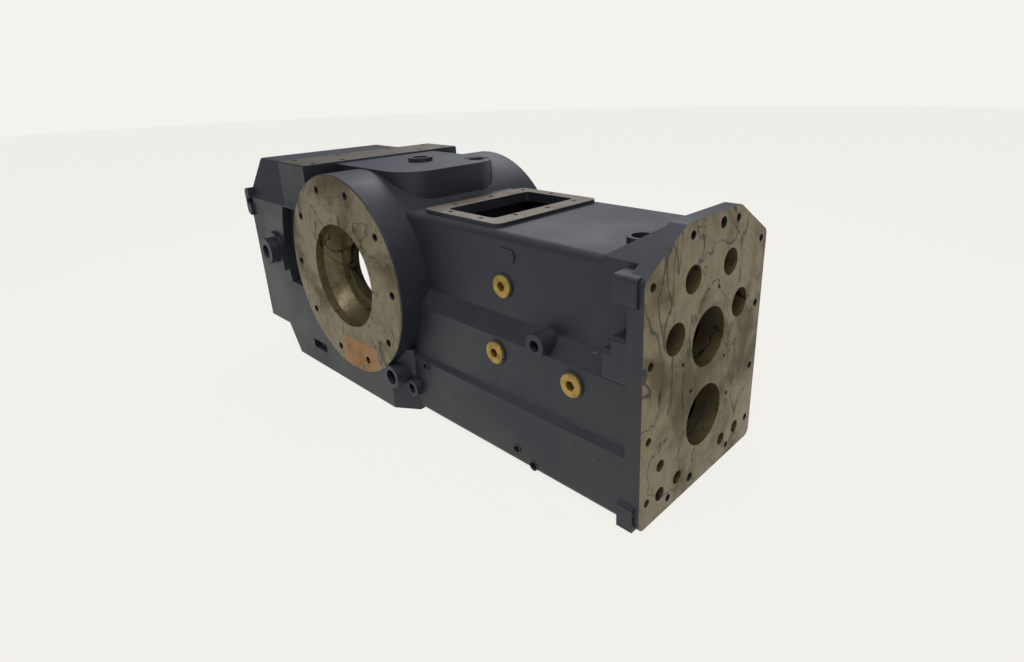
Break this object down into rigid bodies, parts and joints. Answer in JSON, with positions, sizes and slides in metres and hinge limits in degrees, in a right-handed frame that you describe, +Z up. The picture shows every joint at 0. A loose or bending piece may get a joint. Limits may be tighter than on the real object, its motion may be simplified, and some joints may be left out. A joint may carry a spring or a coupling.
{
  "type": "gearbox housing",
  "caption": "Hollow cast-iron gearbox housing with a bored front face, a flanged axle case behind it, a cover seat on top and hex-socket screw plugs in one side.",
  "frame": {"origin": "where the axle's axis crosses the main shaft's axis", "axes": "+X along the main shaft towards the front face, +Y along the axle towards the side without plugs, +Z up"},
  "size_m": [1.015, 0.389, 0.421],
  "materials": {
    "casting": "dark blue-black paint on rough casting, machined faces oil-stained olive",
    "plug": "yellow-plated, dulled"
  },
  "bodies": {
    "root": {"housing": "casting", "plug_upper": "plug", "plug_rear": "plug", "plug_front": "plug"}
  },
  "joints": []
}
